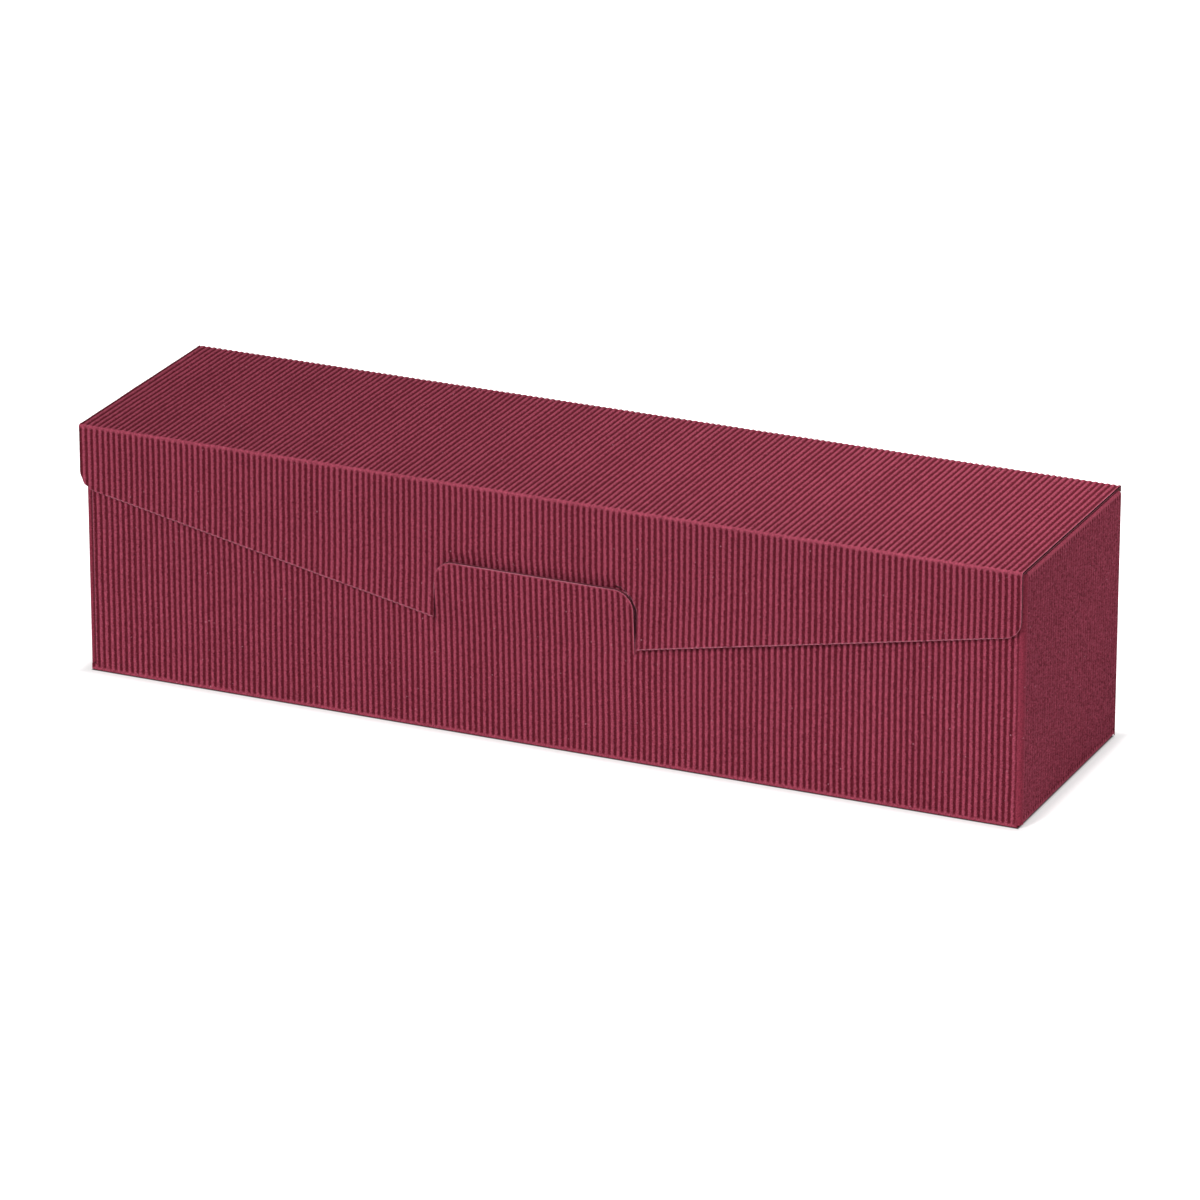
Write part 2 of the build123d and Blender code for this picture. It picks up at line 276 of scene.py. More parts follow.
# Planes that a flat sheet is placed on: origin, direction across the flutes, along them, and outwards
FRONT = ((0, -IN_Y, 0), X, Z, -Y)
BACK = ((0, IN_Y, 0), -X, Z, Y)
RIGHT = ((IN_X, 0, 0), Y, Z, X)
LEFT = ((-IN_X, 0, 0), -Y, Z, -X)
TOP_SIDE = ((0, 0, LID_Z), X, Y, Z)
FLAP = ((0, -FLAP_Y, 0), X, Z, -Y)
RIGHT_DUST = ((IN_X, 0, DUST_Z), Y, -X, Z)
LEFT_DUST = ((-IN_X, 0, DUST_Z), -Y, X, Z)


def leaning(y, z, angle):
    """A plane facing the front whose upper edge leans outwards."""
    sine, cosine = math.sin(angle), math.cos(angle)
    return ((0, y, z), X, (0, -sine, cosine), (0, -cosine, -sine))


def root_height():
    """Height of the tongue's bend."""
    return TOP - settings().cut.tongue_root


def smoothstep(x, low, high):
    t = np.clip((x - low) / (high - low), 0, 1)
    return t * t * (3 - 2 * t)


def read_vectors(items, name):
    values = np.zeros(len(items) * 3)
    items.foreach_get(name, values)
    return values.reshape(-1, 3)


def vertex_places(sheet):
    return read_vectors(sheet.data.vertices, "co")


def set_places(sheet, places):
    """Moves the vertices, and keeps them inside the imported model's box."""
    low, high = (np.array(corner) for corner in CAD_BOX)
    sheet.data.vertices.foreach_set("co", np.clip(places, low, high).ravel())
    sheet.data.update()


def face_centres(sheet):
    return read_vectors(sheet.data.polygons, "center")


def select_only(sheet):
    bpy.ops.object.select_all(action="DESELECT")
    bpy.context.view_layer.objects.active = sheet
    sheet.select_set(True)


def edit_faces(sheet, chosen, operator, **values):
    """Runs one edit mode operator on the chosen faces of a sheet."""
    select_only(sheet)
    mesh = sheet.data
    for items in (mesh.vertices, mesh.edges):
        items.foreach_set("select", np.zeros(len(items), bool))
    mesh.polygons.foreach_set("select", chosen)
    bpy.context.tool_settings.mesh_select_mode = (False, False, True)
    bpy.ops.object.mode_set(mode="EDIT")
    operator(**values)
    bpy.ops.object.mode_set(mode="OBJECT")


def cut(sheet, point, normal, clear=True, within=None):
    """Cuts the flat sheet along a straight line, and clears the side that the normal points to.

    within is a box, given by two corners: only faces whose middle is in it are cut."""
    u, v, _ = face_centres(sheet).T
    chosen = np.ones(len(u), bool)
    if within:
        (u0, v0), (u1, v1) = within
        chosen = (u > u0) & (u < u1) & (v > v0) & (v < v1)
    if chosen.any():
        edit_faces(sheet, chosen, bpy.ops.mesh.bisect, plane_co=(*point, 0), plane_no=(*normal, 0),
                   clear_outer=clear, threshold=SLIVER)


def delete_faces(sheet, test):
    """Deletes the faces whose middle the test accepts."""
    u, v, _ = face_centres(sheet).T
    edit_faces(sheet, test(u, v), bpy.ops.mesh.delete, type="FACE")


def round_corner(sheet, centre, radius, start, end, clear=True):
    """Cuts along tangents of a circle, from one angle to another, in the box of that corner alone."""
    middle, sides = (start + end) / 2, []
    for place, way in zip(centre, (math.cos(middle), math.sin(middle))):
        reach = math.copysign((1 + CORNER_PAST) * radius, way)
        sides.append(sorted((place - CORNER_PAST * reach, place + reach)))
    for i in range(CORNER_STEPS):
        angle = start + (end - start) * (i + 0.5) / CORNER_STEPS
        normal = (math.cos(angle), math.sin(angle))
        point = (centre[0] + radius * normal[0], centre[1] + radius * normal[1])
        cut(sheet, point, normal, clear, tuple(zip(*sides)))


def even_rows(low, high):
    count = max(1, round((high - low) / ROW_STEP))
    return [low + (high - low) * i / count for i in range(count + 1)]


def flat_sheet(name, u0, u1, rows, step):
    """A flat sheet in the XY plane whose columns lie on multiples of the step."""
    first, last = math.floor(u0 / step + TINY), math.ceil(u1 / step - TINY)
    bpy.ops.object.select_all(action="DESELECT")
    bpy.ops.mesh.primitive_grid_add(x_subdivisions=last - first, y_subdivisions=len(rows) - 1, size=1)
    sheet = bpy.context.object
    sheet.name = sheet.data.name = name
    sheet.scale.x = (last - first) * step
    sheet.location = ((first + last) * step / 2, 0.5, 0)
    bpy.ops.object.transform_apply(location=True, rotation=False, scale=True)
    places = vertex_places(sheet)
    index = np.rint(places[:, 1] * (len(rows) - 1)).astype(int)
    places[:, 1] = np.array(rows)[index]
    sheet.data.vertices.foreach_set("co", places.ravel())
    sheet.data.update()
    if first * step < u0 - SLIVER:
        cut(sheet, (u0, 0), (-1, 0))
    if last * step > u1 + SLIVER:
        cut(sheet, (u1, 0), (1, 0))
    return sheet


def window(margin):
    """The window's outline, larger all round by the margin: left, right, top and corner radius."""
    cuts = settings().cut
    left = TONGUE_LOW.x - cuts.slit - margin
    right = TONGUE_HIGH.x + cuts.slit + margin
    return left, right, BEND_Z - cuts.tab_bend + margin, cuts.tongue_corner + margin


def shrunk(arch, band):
    """An arch whose outline lies inside another one, by the band."""
    left, right, top, radius = arch
    return left + band, right - band, top - band, radius - band


def arch_depth(u, v, left, right, top, radius):
    """How deep a place lies inside the arch, and negative outside it."""
    beside = np.maximum(left + radius - u, u - right + radius)
    above = v - top + radius
    past = np.hypot(np.maximum(beside, 0), np.maximum(above, 0))
    return radius - past - np.minimum(np.maximum(beside, above), 0)


def score_arch(sheet, left, right, top, radius, bottom=None):
    """Cuts lines into the sheet along the arch, and removes nothing."""
    low = -1.0 if bottom is None else bottom - SCORE_PAST
    for u in (left, right):
        cut(sheet, (u, 0), (1, 0), False, ((u - SCORE_HALF, low), (u + SCORE_HALF, top + SCORE_PAST)))
    for v in [top] if bottom is None else [top, bottom]:
        cut(sheet, (0, v), (0, 1), False, ((left - MM, v - SCORE_PAST), (right + MM, v + SCORE_PAST)))
    for u, start in ((left + radius, math.pi), (right - radius, 0)):
        round_corner(sheet, (u, top - radius), radius, start, math.pi / 2, clear=False)


def wall_shape(sheet):
    """The window in the front wall."""
    base, arch = root_height(), window(0)
    score_arch(sheet, *shrunk(arch, -settings().cut.edge_band), base)
    score_arch(sheet, *arch, base)
    delete_faces(sheet, lambda u, v: (arch_depth(u, v, *arch) > 0) & (v > base))


def corner_centre(point, normal, end, sign, radius):
    """Centre of the circle that touches the flap's end and the sloping edge through the point."""
    u = end - sign * radius
    v = point[1] + (-radius - normal[0] * (u - point[0])) / normal[1]
    return u, v


def notch():
    """The flap's notch over the tongue, whose top is the bend of the tab."""
    cuts = settings().cut
    left, right, _, _ = window(0)
    return left, right + cuts.notch_room, BEND_Z, cuts.notch_corner


def flap_shape(sheet):
    """V-shaped lower edge with rounded outer corners, and the notch over the tongue."""
    cuts = settings().cut
    side = TOP - cuts.flap_side
    tip = FLAP_LOW.z
    left, right, _, _ = notch()
    for end, inner, sign in ((LID_HIGH.x, right, 1), (LID_LOW.x, left, -1)):
        run, rise = abs(end - inner), side - tip
        length = math.hypot(run, rise)
        normal = (sign * rise / length, -run / length)
        half = ((min(0, sign), -1), (max(0, sign), 1))
        centre = corner_centre((inner, tip), normal, end, sign, cuts.flap_corner)
        flat = 0.0 if sign > 0 else -math.pi
        slant = math.atan2(normal[1], normal[0])
        for band in (0.0, cuts.edge_band):
            point = (inner - normal[0] * band, tip - normal[1] * band)
            cut(sheet, point, normal, band == 0, half)
            round_corner(sheet, centre, cuts.flap_corner - band, flat, slant, band == 0)
    arch = notch()
    score_arch(sheet, *arch)
    delete_faces(sheet, lambda u, v: arch_depth(u, v, *arch) > 0)


def tongue_outline():
    """The tongue's arch, measured along it from its bend."""
    cuts = settings().cut
    left, right, top, radius = window(-cuts.slit)
    return left, right, top - TOP + cuts.tongue_root, radius


def tongue_shape(sheet):
    cuts = settings().cut
    arch = tongue_outline()
    for depth in (0, cuts.edge_band, cuts.pinched / 2, cuts.pinched):
        score_arch(sheet, *shrunk(arch, depth))
    delete_faces(sheet, lambda u, v: arch_depth(u, v, *arch) < 0)


def tab_shape(sheet):
    """The tab, narrower than the window, with a neck up to its bend."""
    cuts = settings().cut
    left, right, top, radius = window(-cuts.tab_gap)
    arch = (left, right, (top - BEND_Z) / math.cos(cuts.tab_lean), radius)
    score_arch(sheet, *arch)
    neck = (left + radius / 2, right - radius)
    delete_faces(sheet, lambda u, v: (arch_depth(u, v, *arch) < 0) & ~((u > neck[0]) & (u < neck[1])))


def dust_shape(side, sheet):
    """The slanted rear edge and the rounded corners of a dust flap. side is 1 with its rear at +u."""
    cuts = settings().cut
    taper, radius = cuts.dust_taper, cuts.dust_corner
    length = IN_X - DUST_LOW.x
    slope = math.hypot(1, taper)
    rear = side * DUST_HIGH.y
    front = side * (DUST_LOW.y if side > 0 else SEAM_LOW.y)
    rear_centre = DUST_HIGH.y - (length - radius - CREASE_LEG) * taper - radius * slope
    slant = math.atan2(taper, side)
    flat = math.pi if side > 0 else 0.0
    for band in (cuts.edge_band, 0.0):
        clear = band == 0
        normal = (side / slope, taper / slope)
        point = (rear - normal[0] * band, CREASE_LEG - normal[1] * band)
        cut(sheet, point, normal, clear)
        cut(sheet, (0, length - band), (0, 1), clear)
        for u, start in ((side * rear_centre, slant), (front + side * radius, flat)):
            round_corner(sheet, (u, length - radius), radius - band, start, math.pi / 2, clear)


def flute_values(u, v, cross, along, pitch, strength=1.0):
    """The values of the sheet's attributes: its share of a whole flute, and how crushed and rolled it is.

    cross and along are distances to folds across the flutes and along them, or None without one."""
    board = settings().board
    # Uneven waves, so that no two flutes stray or stand alike
    stray = board.wander * (np.sin(v * 210 + u * 37) + np.sin(v * 93 - u * 61)) / 2
    number = np.rint(u / pitch)
    whole = 1 - board.unevenness * (0.5 + 0.5 * np.sin(number * 12.9898 + np.sin(number * 4.1)))
    wave = whole * (0.5 + 0.5 * np.cos(2 * math.pi * (u + stray) / pitch)) ** board.crest_width
    crushed, rolled = np.zeros(len(u)), np.zeros(len(u))
    if cross is not None:
        crushed = strength * (1 - smoothstep(cross, board.crush_start, board.crush_end))
    if along is not None:
        rolled = 1 - smoothstep(along, board.roll_start, board.roll_end)
    share = wave * (1 - crushed) + board.crushed * crushed
    share = share * (1 - rolled) + board.rolled * rolled
    return {"flute": share, "crushed": crushed, "rolled": rolled}


def rise(flute):
    """Height of the outer face above the board's inner face, from the share of a whole flute."""
    valley = settings().board.valley
    return valley + (BOARD - valley) * flute


def roll_distance(u, rolls):
    """Distance over the board's surface to the middle of the nearest roll, or None without one."""
    if not rolls:
        return None
    half = (UPRIGHT_RADIUS + BOARD) * math.pi / 4
    return np.min([np.abs(u - place) for place in rolls], axis=0) - UPRIGHT_RADIUS + half


def put_attributes(sheet, values, edge):
    for name, value in (*values.items(), ("cut_edge", edge)):
        attribute = sheet.data.attributes.new(name, "FLOAT", "POINT")
        attribute.data.foreach_set("value", value.astype(np.float32))


def open_edges(sheet):
    """1 on the vertices of the sheet's open edges and 0 elsewhere."""
    mesh = sheet.data
    index = np.zeros(len(mesh.loops), int)
    mesh.loops.foreach_get("edge_index", index)
    count = np.bincount(index, minlength=len(mesh.edges))
    ends = np.zeros(len(mesh.edges) * 2, int)
    mesh.edges.foreach_get("vertices", ends)
    share = np.zeros(len(mesh.vertices))
    share[ends.reshape(-1, 2)[count == 1].ravel()] = 1
    return share


def finish_sheet(sheet, thickness, *papers):
    """Gives the sheet the papers of its outer face, inner face and rim, and its thickness inwards."""
    for paper in papers:
        sheet.data.materials.append(paper)
    select_only(sheet)
    solid = sheet.modifiers.new("thickness", "SOLIDIFY")
    solid.thickness = thickness
    solid.offset = -1
    solid.material_offset = len(papers) // 2
    solid.material_offset_rim = len(papers) - 1
    bpy.ops.object.modifier_apply(modifier=solid.name)
    bpy.ops.object.shade_smooth_by_angle(angle=SMOOTH_ANGLE)
    set_places(sheet, vertex_places(sheet))


def wall_bulge(x, z):
    """Swelling of the front wall, largest at the tongue's root."""
    cuts, root = settings().cut, root_height()
    side = np.cos(np.clip(x / cuts.bulge_half, -1, 1) * math.pi / 2) ** 2
    height = smoothstep(z, BULGE_FOOT, root) * (1 - smoothstep(z, root, root + BULGE_TOP))
    return cuts.wall_bulge * side * height


def wing_lean(x, z):
    """The flap's lower edges stand off the swollen wall, most half way along each wing."""
    cuts = settings().cut
    depth = np.clip((FLAP_HIGH.z - z) / (FLAP_HIGH.z - FLAP_LOW.z), 0, 1)
    swell = smoothstep(np.abs(x), *SWELL_GROWS) * (1 - smoothstep(np.abs(x), *SWELL_FADES))
    return wall_bulge(x, z) + cuts.wing_lean * depth ** 3 + cuts.wing_swell * depth * swell


def tab_dent(x, z):
    """The flap and its tab are pushed in where the tab leaves the flap."""
    cuts = settings().cut
    left, right, _, radius = window(0)
    side = smoothstep(np.minimum(x - left, right - x), 0, radius)
    return cuts.dent_depth * side * (1 - smoothstep(z, BEND_Z, BEND_Z + cuts.dented))


def flap_bulge(x, z):
    return wing_lean(x, z) - tab_dent(x, z)


def tab_bulge(x, z):
    return wing_lean(x, np.full_like(x, BEND_Z)) - tab_dent(x, z)


def tongue_rise(x, z):
    """The tongue's root follows the swollen wall, and its top stays where it is."""
    root = root_height()
    return wall_bulge(x, np.full_like(x, root)) * (1 - np.clip((z - root) / (TONGUE_HIGH.z - root), 0, 1))


@dataclass
class FlatBoard:
    """One stiff panel of board: its plane, its reach across and along the flutes, and its cuts.

    rolls are the places of the bends along its flutes. free names the borders that are cut edges."""

    name: str
    plane: tuple
    u: tuple
    v: tuple
    body: str
    pitch: float = LONG_PITCH
    rolls: tuple = ()
    free: str = ""
    shape: object = None
    bulge: object = None

    def put(self, sheet, height):
        places = vertex_places(sheet)
        origin, across, along, out = (np.array(x, float) for x in self.plane)
        moved = origin + places[:, :1] * across + places[:, 1:2] * along + height[:, None] * out
        if self.bulge:
            moved[:, 1] -= self.bulge(places[:, 0], moved[:, 2])
        if self.shape is tab_shape:
            moved[np.abs(places[:, 1]) < TINY, 2] = BEND_Z
        set_places(sheet, moved)

    def borders(self):
        """Each border's place, the axis that it crosses, the way inwards, and whether it is a cut edge."""
        for name, axis, side, inwards in (
            ("left", 0, 0, 1), ("right", 0, 1, -1), ("bottom", 1, 0, 1), ("top", 1, 1, -1),
        ):
            yield (self.u, self.v)[axis][side], axis, inwards, name in self.free

    def cut_edges(self, sheet):
        """1 on the vertices of the cut edges, and 0 elsewhere and where the board goes on."""
        share, places = open_edges(sheet), vertex_places(sheet)
        for place, axis, _, free in self.borders():
            if not free:
                share[np.abs(places[:, axis] - place) < TINY] = 0
        u, v, _ = places.T
        if self.shape is wall_shape:
            share[np.abs(v - root_height()) < TINY] = 0
        if self.shape is flap_shape:
            share[arch_depth(u, v, *notch()) > -TINY] = 0
        if self.shape is tab_shape:
            share[v > -NECK] = 0
        return share

    def score_free_borders(self, sheet):
        for place, axis, inwards, free in self.borders():
            line = place + inwards * settings().cut.edge_band
            if free:
                cut(sheet, (line, line), (1 - axis, axis), False)

    def pinch(self, u, v):
        """How much the cut edge has pressed the flutes flat."""
        if self.shape is not tongue_shape:
            return np.zeros(len(u))
        return 1 - smoothstep(arch_depth(u, v, *tongue_outline()), 0.0, settings().cut.pinched)

    def paper(self):
        """The fluted paper."""
        board = settings().board
        sheet = flat_sheet(self.name + "_paper", *self.u, even_rows(*self.v), self.pitch / board.columns)
        self.score_free_borders(sheet)
        if self.shape:
            self.shape(sheet)
        u, v, _ = vertex_places(sheet).T
        values = flute_values(u, v, None, roll_distance(u, self.rolls), self.pitch)
        pinch = self.pinch(u, v)
        values["flute"] = values["flute"] * (1 - pinch) + board.crushed * pinch
        values["crushed"] = pinch
        height = rise(values["flute"])
        # On the ends the painted flute highlight and shade are made weaker, nearer one tone
        if self.name.endswith("_end"):
            values["flute"] = values["flute"] + (board.end_tone - values["flute"]) * board.end_evenness
        put_attributes(sheet, values, self.cut_edges(sheet))
        self.put(sheet, height)
        finish_sheet(sheet, board.paper, fluted_paper("bordeaux_fluted_paper"))
        self.seat(sheet, "_flutes", "fluted_paper")

    def lining(self):
        """The smooth liner behind the fluted paper."""
        sheet = flat_sheet(self.name + "_lining", *self.u, even_rows(*self.v), LINING_STEP)
        if self.shape:
            self.shape(sheet)
        self.put(sheet, np.full(len(sheet.data.vertices), LINER))
        finish_sheet(sheet, LINER, *lining_papers())
        self.seat(sheet, "_liner", "inner_liner")

    def seat(self, sheet, layer, slot):
        if self.body == "tongue":
            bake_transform(sheet)
        else:
            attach(sheet, self.body)
        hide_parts(self.name + layer)


def build_board(*values, **named):
    board = FlatBoard(*values, **named)
    board.paper()
    board.lining()


@dataclass
class Fold:
    """A bent band of board between two panels. Its legs point from its inner corner along the panels."""

    name: str
    corner: tuple
    legs: tuple
    span: tuple
    radius: float = 0.0

    def half(self):
        """Half of the roll's length over the outer face."""
        return (self.radius + BOARD) * math.pi / 4

    def length(self):
        """Half of the whole band's length over the outer face."""
        return CREASE_LEG - self.radius + self.half()

    def put(self, sheet, along, across, height):
        """Places the sheet: along the fold, and round it."""
        turn = np.clip(math.pi / 4 * (across / self.half() + 1), 0, math.pi / 2)
        reach_a = self.radius + np.maximum(-self.half() - across, 0) - (self.radius + height) * np.sin(turn)
        reach_b = self.radius + np.maximum(across - self.half(), 0) - (self.radius + height) * np.cos(turn)
        leg_a, leg_b = (np.array(leg, float) for leg in self.legs)
        axis = np.abs(np.cross(leg_a, leg_b))
        places = np.array(self.corner, float) + along[:, None] * axis
        set_places(sheet, places + reach_a[:, None] * leg_a + reach_b[:, None] * leg_b)

    def make_paper(self, sheet, along, across, values, edge, bodies, low=0.0):
        """Makes the flat sheet the fluted paper round the fold."""
        put_attributes(sheet, values, edge)
        self.put(sheet, along, across, rise(values["flute"]))
        finish_sheet(sheet, settings().board.paper, fluted_paper("bordeaux_fluted_paper"))
        self.seat(sheet, "creased_board", bodies, low)

    def make_lining(self, sheet, along, across, bodies, room=0.0):
        """Makes the flat sheet the lining inside the fold."""
        self.put(sheet, along, across, np.full(len(along), LINER))
        finish_sheet(sheet, LINER - room, *lining_papers())
        self.seat(sheet, "inner_liner", bodies)

    def seat(self, sheet, slot, bodies, low=0.0):
        if len(bodies) == 2:
            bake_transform(sheet)
        else:
            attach(sheet, bodies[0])
        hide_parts(self.name)


class CrossFold(Fold):
    """A fold across the flutes, which crushes them."""

    def sheet(self, name, step):
        low, high = self.span
        sign = 1 if sum(np.cross(*self.legs)) > 0 else -1
        ends = (low, high) if sign > 0 else (-high, -low)
        half, length = self.half(), self.length()
        legs = [length - (length - half) * share for share in LEG_ROWS]
        roll = [half * (2 * i / ROLL_ROWS - 1) for i in range(ROLL_ROWS + 1)]
        rows = [-place for place in legs] + roll + legs[::-1]
        made = flat_sheet(name, *ends, rows, step)
        band = settings().cut.edge_band
        for end in (ends[0] + band, ends[1] - band):
            cut(made, (end, 0), (1, 0), False)
        u, v, _ = vertex_places(made).T
        return made, sign * u, v

    def build(self, bodies, pitch, strength=1.0, rolls=()):
        """rolls are the places of the bends along the flutes beside the fold."""
        step = pitch / settings().board.columns
        sheet, along, across = self.sheet(self.name + "_paper", step)
        values = flute_values(along, across, np.abs(across), roll_distance(along, rolls), pitch, strength)
        ends = np.minimum(np.abs(along - self.span[0]), np.abs(along - self.span[1])) < TINY
        self.make_paper(sheet, along, across, values, ends.astype(float) * (len(rolls) == 0), bodies, LINER)
        self.make_lining(*self.sheet(self.name + "_lining", LINING_STEP), bodies, CREASE_ROOM)


class UprightFold(Fold):
    """A fold along the flutes, which rolls the board and stretches the last flutes smooth."""

    def build(self, waves, notched):
        """waves gives the pitch and the place of the flutes on each side. notched is the sign of the side
        that makes room for the long floor flap's crease."""
        half, length = self.half(), self.length()
        rows = even_rows(*self.span)
        sheet = flat_sheet(self.name + "_paper", -length, length, rows, length / 16)
        lining = flat_sheet(self.name + "_lining", -length, length, rows, length / 8)
        past = (FLOOR_HIGH.x - IN_X + self.radius) / (self.radius + BOARD)
        side = half - math.asin(past) * (self.radius + BOARD)
        for piece in (sheet, lining):
            cut(piece, (notched * side, 0), (1, 0), False)
            cut(piece, (0, WALL_LOW.z), (0, 1), False)
            delete_faces(piece, lambda u, v: (u * notched > side) & (v < WALL_LOW.z))
        across, along, _ = vertex_places(sheet).T
        (pitch_a, place_a), (pitch_b, place_b) = waves
        on_a = flute_values(place_a + across + length, along, None, np.abs(across), pitch_a)
        on_b = flute_values(place_b - length + across, along, None, np.abs(across), pitch_b)
        values = {name: np.where(across < 0, on_a[name], on_b[name]) for name in on_a}
        self.make_paper(sheet, along, across, values, np.zeros(len(along)), ["box"])
        across, along, _ = vertex_places(lining).T
        self.make_lining(lining, along, across, ["box"])


def made_once(dress):
    """Turns a function that dresses a new material into one that gives the material of that name."""

    def give(name, *values):
        if name not in bpy.data.materials:
            material = bpy.data.materials.new(name)
            material.use_nodes = True
            dress(material.node_tree, material.node_tree.nodes["Principled BSDF"], *values)
        return bpy.data.materials[name]

    return give


def join(tree, value, socket):
    """Links a socket to another, or sets a number or a colour on it."""
    if hasattr(value, "links"):
        tree.links.new(value, socket)
    else:
        socket.default_value = (*value, 1.0) if socket.type == "RGBA" else value


def join_all(tree, node, inputs):
    """Gives a value or a socket to inputs of a node, by name or by place."""
    for place, value in inputs.items():
        join(tree, value, node.inputs[place])


def set_all(item, options):
    for option, value in options.items():
        setattr(item, option, value)


def add_node(tree, kind, inputs, **options):
    node = tree.nodes.new("ShaderNode" + kind)
    set_all(node, options)
    join_all(tree, node, inputs)
    return node


def calculate(tree, operation, *values):
    """A Math node over values or sockets."""
    return add_node(tree, "Math", dict(enumerate(values)), operation=operation).outputs[0]


def object_place(tree):
    return tree.nodes.new("ShaderNodeTexCoord").outputs["Object"]


def object_axes(tree):
    return add_node(tree, "SeparateXYZ", {0: object_place(tree)}).outputs


def noise(tree, place, scale, detail):
    inputs = {"Vector": place, "Scale": scale, "Detail": detail, "Roughness": 0.6}
    return add_node(tree, "TexNoise", inputs).outputs["Fac"]


def smooth_band(tree, value, low, high, start=0.0, end=1.0):
    """Goes smoothly from the start to the end while the value goes from low to high."""
    inputs = dict(enumerate((value, low, high, start, end)))
    return add_node(tree, "MapRange", inputs, interpolation_type="SMOOTHSTEP").outputs[0]


def mix_colour(tree, factor, a, b):
    """Mixes two colours, each a value or a socket."""
    return add_node(tree, "Mix", {0: factor, 6: a, 7: b}, data_type="RGBA").outputs[2]


def new_group(name, inputs, outputs):
    """A shader group with float sockets. inputs gives the name and the default of each."""
    group = bpy.data.node_groups.new(name, "ShaderNodeTree")
    for socket, default in inputs.items():
        made = group.interface.new_socket(socket, in_out="INPUT", socket_type="NodeSocketFloat")
        made.default_value = default
    for socket in outputs:
        group.interface.new_socket(socket, in_out="OUTPUT", socket_type="NodeSocketFloat")
    entry, leave = group.nodes.new("NodeGroupInput"), group.nodes.new("NodeGroupOutput")
    return group, entry.outputs, leave.inputs, object_place(group)


def place_group(tree, make, inputs):
    """Places the shader group of a function, which makes it the first time, and gives its outputs."""
    group = bpy.data.node_groups.get(make.__name__) or make()
    return add_node(tree, "Group", inputs, node_tree=group).outputs


def paper_grain():
    """Shader group: fibres and mottling of uncoated paper."""
    group, given, made, place = new_group(
        "paper_grain", {"Mottle": 0.5, "Specks": 0.5}, ("Tone", "Fibres", "Height"))
    grain = noise(group, place, scale=1700, detail=3)
    patches = noise(group, place, scale=520, detail=3)
    clouds = noise(group, place, scale=24, detail=2)
    spread = calculate(group, "MULTIPLY_ADD", grain, 2.4, calculate(group, "MULTIPLY", patches, 0.25))
    spread = calculate(group, "MULTIPLY_ADD", clouds, 0.2, spread)
    centred = calculate(group, "SUBTRACT", spread, 1.425)
    join(group, calculate(group, "MULTIPLY_ADD", centred, given["Mottle"], 1.0), made["Tone"])
    cells = add_node(group, "TexVoronoi", {"Vector": place, "Scale": 330})
    small = calculate(group, "LESS_THAN", cells.outputs["Distance"], 0.11)
    rare = calculate(group, "GREATER_THAN", noise(group, place, scale=500, detail=1), 0.6)
    both = calculate(group, "MULTIPLY", small, rare)
    join(group, calculate(group, "MULTIPLY", both, given["Specks"]), made["Fibres"])
    join(group, calculate(group, "ADD", grain, patches), made["Height"])
    return group


def painted_flute_shading():
    """Shader group: turns a flute's height into a painted highlight on the crests and painted shade in the
    valleys, with ragged borders.
    """
    group, given, made, place = new_group("painted_flute_shading", {"Flute": 0.5, "Ragged": 0.9}, ("Mask",))
    ragged = calculate(group, "SUBTRACT", noise(group, place, scale=1100, detail=2), 0.5)
    shifted = calculate(group, "MULTIPLY_ADD", ragged, given["Ragged"], given["Flute"])
    join(group, smooth_band(group, shifted, 0.25, 0.85), made["Mask"])
    return group


def add_grain(tree, shader, colour, speck_colour, mottle, specks, depth):
    """Lays the paper's grain over a colour, and gives the shader its bump."""
    grain = place_group(tree, paper_grain, {"Mottle": mottle, "Specks": specks})
    toned = add_node(tree, "VectorMath", {0: colour, "Scale": grain["Tone"]}, operation="SCALE")
    bump = add_node(tree, "Bump", {"Strength": depth, "Distance": BUMP_DEPTH, "Height": grain["Height"]})
    join_all(tree, shader, {
        "Base Color": mix_colour(tree, grain["Fibres"], toned.outputs[0], speck_colour),
        "Normal": bump.outputs["Normal"], "Roughness": 0.8, "Specular IOR Level": 0.06})


def add_fluted_grain(tree, shader, colour):
    add_grain(tree, shader, colour, settings().finish.speck, mottle=0.8, specks=0.6, depth=0.5)


@made_once
def plain_paper(tree, shader, colour, speck_colour):
    add_grain(tree, shader, colour, speck_colour, mottle=0.3, specks=0.4, depth=0.3)


def lining_papers():
    """For a lining: the side that the flutes are glued to, the smooth side, and the rim."""
    finish = settings().finish
    # The glued side and the rims are painted dark, as shade
    return [plain_paper("glued_side_of_liner", finish.glued, finish.rim),
            plain_paper("smooth_liner_paper", finish.liner, finish.liner_speck),
            plain_paper("cut_edge_of_liner", finish.rim, finish.edge)]


@made_once
def glue_flap_papers(tree, shader):
    """The glued side's near-black paper, painted shade where the flap meets the front wall, and liner inside.
    """
    finish = settings().finish
    outside = calculate(tree, "LESS_THAN", object_axes(tree)["Y"], SEAM_Y - 0.1 * MM)
    colour = mix_colour(tree, outside, finish.liner, finish.glued)
    add_grain(tree, shader, colour, finish.liner_speck, mottle=0.3, specks=0.4, depth=0.3)


def fluted_colour(tree, flute):
    """Painted shade in the valleys and a painted highlight on the crests, from the share of a whole flute."""
    finish = settings().finish
    mask = place_group(tree, painted_flute_shading, {"Flute": flute})["Mask"]
    return mix_colour(tree, mask, finish.valley, finish.crest)


@made_once
def fluted_paper(tree, shader):
    """For the sheets made here, which say how high each place on a flute is."""
    finish = settings().finish
    share = {name: add_node(tree, "Attribute", {}, attribute_name=name).outputs["Fac"]
             for name in ("flute", "crushed", "rolled", "cut_edge")}
    colour = fluted_colour(tree, share["flute"])
    for name, over in (("crushed", finish.fold), ("rolled", finish.roll), ("cut_edge", finish.edge)):
        colour = mix_colour(tree, share[name], colour, over)
    add_fluted_grain(tree, shader, colour)


